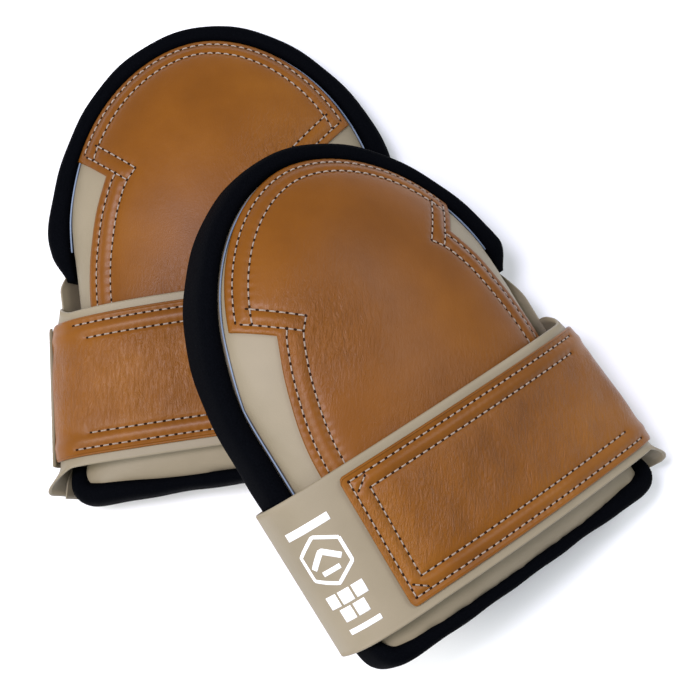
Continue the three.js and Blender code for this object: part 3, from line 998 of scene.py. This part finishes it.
def splay(x, z, y):
    """How far the closure side leans outwards towards the band's low edge, and its free corners more."""
    lean = BAND_SPLAY * (BAND_HIGH - y) / (BAND_HIGH - BAND_LOW)
    lean = lean * smooth(z, 9, 32) - 2 * smooth(y, -34, -20) + 8 * smooth(-y, 103, 118)
    return lean * smooth(x, 30, HALF_WIDTH)


def band_point(arc, y, lift):
    """Points off the band's inner face, at distances along it."""
    x = np.interp(arc, BAND_ARC, BAND_LINE[:, 0])
    z = np.interp(arc, BAND_ARC, BAND_LINE[:, 1])
    (before_x, after_x), (before_z, after_z) = (
        [np.interp(arc + step, BAND_ARC, BAND_LINE[:, i]) for step in (-1.5, 1.5)] for i in (0, 1)
    )
    ahead_x, ahead_z = after_x - before_x, after_z - before_z
    length = np.hypot(ahead_x, ahead_z)
    nx, nz = -ahead_z / length, ahead_x / length
    sag = BAND_SAG * smooth(BAND_HIGH - y, 0, BAND_HIGH - BAND_LOW) * (1 - smooth(np.abs(x), 50, 95))
    x, z = x + nx * lift, z + nz * lift
    return np.stack([x + splay(x, z, y), np.broadcast_to(y, x.shape), z - sag], -1)


def strip_sections(arcs, edges, lift, thick, across=40, corner=0.0, relief=None):
    """Sections of a strip on the band's path, with its corners rounded off by corner.

    edges gives its low and high y at a distance along the band, and relief its face's extra height.
    """
    sections = []
    half = thick / 2
    bend = np.linspace(-np.pi / 2, np.pi / 2, 7)
    for arc in arcs:
        low, high = edges(arc)
        from_end = min(arc - arcs[0], arcs[-1] - arc)
        if corner and from_end < corner:
            cut = corner - math.sqrt(corner**2 - (corner - from_end) ** 2)
            low, high = low + cut, high - cut
        y = np.linspace(low + half, high - half, across)
        face = relief(arc, y) if relief is not None else 0 * y
        pieces_y = [y, high - half + half * np.cos(bend[::-1]), y[::-1], low + half - half * np.cos(bend)]
        pieces_lift = [thick + face, half + half * np.sin(bend[::-1]), 0 * y, half + half * np.sin(bend)]
        ys, lifts = np.concatenate(pieces_y), np.concatenate(pieces_lift)
        sections.append(band_point(np.full(ys.shape, arc), ys, lift + lifts))
    return sections


def arc_at(x):
    """Distance along the band where its inner face passes x, on the way over the crown."""
    over = (BAND_ARC > 25) & (BAND_ARC < BAND_LENGTH - 25)
    return np.interp(x, BAND_LINE[over, 0], BAND_ARC[over])


def backing_edges(arc):
    wing = smooth(arc, FOLD_ARC - 6, FOLD_ARC + 16)
    return BAND_LOW - WING_FLARE_LOW * wing, BAND_HIGH + WING_FLARE_HIGH * wing


def make_band_backing(pad):
    arcs = np.linspace(0, BAND_LENGTH - 1, 200)
    points, faces = loft(strip_sections(arcs, backing_edges, 0, BAND_THICKNESS))
    band = make_piece(pad, "band", points, faces, ["vinyl"], ["band_backing"])


LEATHER_START = arc_at(LEATHER_START_X)
LEATHER_END = BAND_LENGTH - LEATHER_FROM_END
PATCH_LOW = BAND_LOW + BAND_MARGIN
PATCH_HIGH = BAND_HIGH - BAND_MARGIN


def band_rows():
    """Plan lines, in distance along the band and y, of the patch's two stitch rows on all four sides."""
    rows = []
    for inset in ROW_INSETS:
        start, end = LEATHER_START + inset, FOLD_ARC - inset - 6
        low, high = PATCH_LOW + inset, PATCH_HIGH - inset
        rows.append(np.array([(start, high), (start, low)]))
        rows.append(np.array([(start, low), (end, low)]))
        rows.append(np.array([(start, high), (end, high)]))
    first, second = ROW_INSETS
    for edge, sign in ((PATCH_HIGH, -1), (PATCH_LOW, 1)):
        tack = np.array([(first + 2.0, second - 1.5), (second + 0.5, first + 1.5)])
        rows.append(np.stack([LEATHER_START + tack[:, 0], edge + sign * tack[:, 1]], -1))
    return rows


def patch_relief(rows):
    random = np.random.default_rng(7)
    waves = random.uniform(0, 2 * np.pi, 12)
    pitches = random.uniform(0.12, 0.5, 12)
    slants = random.uniform(-0.25, 0.25, 12)

    def relief(arc, y):
        plan = np.stack([np.full(y.shape, arc), y], -1)
        gap, along = nearest_on_lines(plan, rows)
        edge = np.minimum(np.minimum(y - PATCH_LOW, PATCH_HIGH - y), arc - LEATHER_START)
        groove = 0.7 * np.exp(-((gap / 1.0) ** 2)) + 0.3 * np.exp(-((gap / 3.0) ** 2))
        pucker = 0.16 * np.cos(2 * np.pi * along / STITCH_PITCH) * np.exp(-((gap / 2.2) ** 2))
        between = 0.6 * np.exp(-(((edge - sum(ROW_INSETS) / 2) / 2.6) ** 2))
        middle = smooth(edge, 11, 22)
        creases = sum(0.07 * np.sin(p * arc + s * y + w) for p, s, w in zip(pitches, slants, waves))
        return -groove + pucker + between + middle * (creases + 0.5)

    return relief


def make_band_leather(pad):
    rows = band_rows()
    relief = patch_relief(rows)
    arcs = np.arange(LEATHER_START, LEATHER_END, 0.9)
    lift, thick = BAND_THICKNESS + 0.15, LEATHER - 0.2

    def edges(arc):
        return PATCH_LOW, PATCH_HIGH

    points, faces = loft(strip_sections(arcs, edges, lift, thick, 90, 3.0, relief))
    patch = make_piece(pad, "band_patch", points, faces, ["band"], ["band_leather"])
    margin = np.minimum(points[:, 1] - PATCH_LOW, PATCH_HIGH - points[:, 1])
    mark_creased(patch, 0.1 + 0.9 * smooth(margin, 8, 20))
    seams = []
    for row in rows:
        holes = resampled(row, STITCH_PITCH)
        height = np.array([relief(arc, np.array([y]))[0] for arc, y in holes])
        lift = BAND_THICKNESS + LEATHER - 0.05 + height
        base = band_point(holes[:, 0], holes[:, 1], lift)
        above = band_point(holes[:, 0], holes[:, 1], lift + 1)
        seams.append((base, above - base))
    points, faces, indices = stitches(seams)
    make_piece(pad, "band_stitches", points, faces, ["thread", "hole"], indices=indices)


# --- Printed mark: a roof line in a hexagon ring over two rows of shingles, with no letters ---


def stroke(line, width):
    """A flat strip along a plan line, as a left and a right side."""
    line = resampled(line, 1.0)
    return offset_line(line, width / 2), offset_line(line, -width / 2)


def mark_lines():
    """Lines and their widths, with the band's length as x and its middle at the origin."""
    angle = np.radians(np.arange(30, 391, 60))
    ring = np.stack([11.5 * np.cos(angle), 9.0 + 11.5 * np.sin(angle)], -1)
    lines = [(ring, 1.6)]
    lines.append((np.array([(-7.0, 7.5), (0.0, 13.5), (7.0, 7.5)]), 2.6))
    lines.append((np.array([(-4.2, 4.0), (4.2, 4.0)]), 2.2))
    lines.append((np.array([(-11.0, 25.0), (11.0, 25.0)]), 3.6))
    for row, (y, first) in enumerate(((-8.5, -10.2), (-15.8, -6.8))):
        for k in range(3 - row):
            x = first + 6.8 * k
            lines.append((np.array([(x, y), (x + 5.6, y)]), 6.0))
    lines.append((np.array([(-8.0, -23.5), (8.0, -23.5)]), 2.4))
    return lines


def make_print(pad):
    middle_arc = LEATHER_START - MARK_FROM_LEATHER
    middle_y = (BAND_LOW + BAND_HIGH) / 2 + MARK_SHIFT
    points, faces = [], []
    for line, width in mark_lines():
        left, right = stroke(line, width)
        for side in (left, right):
            arc = middle_arc + side[:, 0] * MARK_SCALE
            y = middle_y + side[:, 1] * MARK_SCALE
            for lift in (BAND_THICKNESS - 0.3, BAND_THICKNESS + 0.14):
                points.append(band_point(arc, y, np.full(arc.shape, lift)))
        count = len(left)
        start = sum(len(p) for p in points) - 4 * count
        low_left, top_left, low_right, top_right = (start + i * count for i in range(4))
        for k in range(count - 1):
            corners = [low_left, top_left, top_right, low_right]
            for a, b in zip(corners, corners[1:] + corners[:1]):
                faces.append([a + k, a + k + 1, b + k + 1, b + k])
        for k in (0, count - 1):
            faces.append([low_left + k, top_left + k, top_right + k, low_right + k])
    make_piece(pad, "band_print", np.concatenate(points), faces, ["print"])


# --- Strap and closure ---


def make_under_strap(pad):
    line = resampled(spline(STRAP_PATH, 16), 1.5)
    along = np.gradient(line, axis=0)
    along /= np.linalg.norm(along, axis=1, keepdims=True)
    up = np.stack([-along[:, 1], along[:, 0]], -1)
    bend = np.linspace(-np.pi / 2, np.pi / 2, 7)
    half = STRAP_HALF
    low, high = STRAP_LOW + half, STRAP_HIGH - half
    y = np.linspace(low, high, 34)
    ribs = 0.12 * np.cos(2 * np.pi * y / STRAP_RIB_PITCH)
    ys = np.concatenate([y, high + half * np.cos(bend[::-1]), y[::-1], low - half * np.cos(bend)])
    lift = np.concatenate([half + ribs, half * np.sin(bend[::-1]), -half - ribs, half * np.sin(bend)])
    sections = [np.stack([p[0] + n[0] * lift, ys, p[1] + n[1] * lift], -1) for p, n in zip(line, up)]
    points, faces = loft(sections)
    make_piece(pad, "strap", points, faces, ["webbing"], ["under_strap"])


def closure_layer(pad, name, span, edges, lift, thick, looks, node, body, ripple):
    """One layer of the closure. looks is its material and a slot name, which is not used, and ripple its
    face's unevenness.
    """
    start, end = span
    material, slot = looks
    arcs = np.linspace(start, end, max(8, int(end - start)))

    def relief(arc, y):
        return ripple * np.sin(arc * 2.1) * np.cos(y * 1.7)

    sections = strip_sections(arcs, lambda arc: edges, lift, thick, 60, 0.0, relief)
    points, faces = loft(sections)
    piece = make_piece(pad, name, points, faces, [material], [node], body)
    mark_creased(piece, np.full(len(points), 0.3))
    return piece


def make_closure(pad):
    end = BAND_LENGTH - 2
    start = end - FLAP_LENGTH
    loop_lift = BAND_THICKNESS + 0.1
    hook_lift = loop_lift + 0.9
    flap_lift = hook_lift + 1.3
    tape = (start + 2, end - 2), (TAPE_LOW, TAPE_HIGH)
    flap = (start + 0.4, end), (FLAP_LOW, FLAP_HIGH)
    looks = (PADS[pad]["flap"], "vinyl" if PADS[pad]["flap"] == "vinyl" else "leather")
    closure_layer(pad, "loop_tape", *tape, loop_lift, 0.75, ("loop", "loop"), "loop_patch", "pad", 0.06)
    closure_layer(pad, "hook_tape", *tape, hook_lift, 1.1, ("hook", "hook"), "hook_patch", "flap", 0.06)
    cover = closure_layer(pad, "flap", *flap, flap_lift, 1.7, looks, "closure_flap", "flap", 0.04)


# --- Room ---


def add_light(name, location, size, power, color, target=(0, 0, 0.03)):
    data = bpy.data.lights.new(name, "AREA")
    data.shape = "DISK"
    data.size = size
    data.energy = power
    data.color = color
    light = bpy.data.objects.new(name, data)
    bpy.context.scene.collection.objects.link(light)
    light.location = location
    light.rotation_euler = (Vector(target) - Vector(location)).to_track_quat("-Z", "Y").to_euler()


def make_room():
    mesh = bpy.data.meshes.new("floor")
    mesh.from_pydata([(-4, -4, 0), (4, -4, 0), (4, 4, 0), (-4, 4, 0)], [], [(0, 1, 2, 3)])
    mesh.materials.append(floor_material())
    floor = bpy.data.objects.new("floor", mesh)
    floor.location.z = -0.0004
    bpy.context.scene.collection.objects.link(floor)
    world = bpy.data.worlds.new("world")
    world.use_nodes = True
    background = world.node_tree.nodes["Background"]
    background.inputs["Color"].default_value = (0.93, 0.96, 1, 1)
    background.inputs["Strength"].default_value = 0.5
    bpy.context.scene.world = world
    add_light("key_light", (-1.2, -0.5, 1.9), 1.1, 35, (1, 0.985, 0.96))
    add_light("fill_light", (1.3, 0.9, 1.7), 1.2, 20, (0.9, 0.95, 1))
    add_light("low_light", (-1.2, -1.3, 0.7), 1.0, 7, (0.85, 0.92, 1))
    add_light("window_light", (-0.42, 0.02, 1.7), 0.42, 19, (0.84, 0.82, 1))


make_room()
for pad_name in PADS:
    make_cover(pad_name)
    make_lining(pad_name)
    make_cap(pad_name)
    make_dome_edging(pad_name)
    make_foot_edging(pad_name)
    make_highlight_piping(pad_name)
    make_gusset(pad_name)
    make_band_backing(pad_name)
    make_band_leather(pad_name)
    make_print(pad_name)
    make_under_strap(pad_name)
    make_closure(pad_name)

bpy.context.scene.view_settings.view_transform = "Standard"
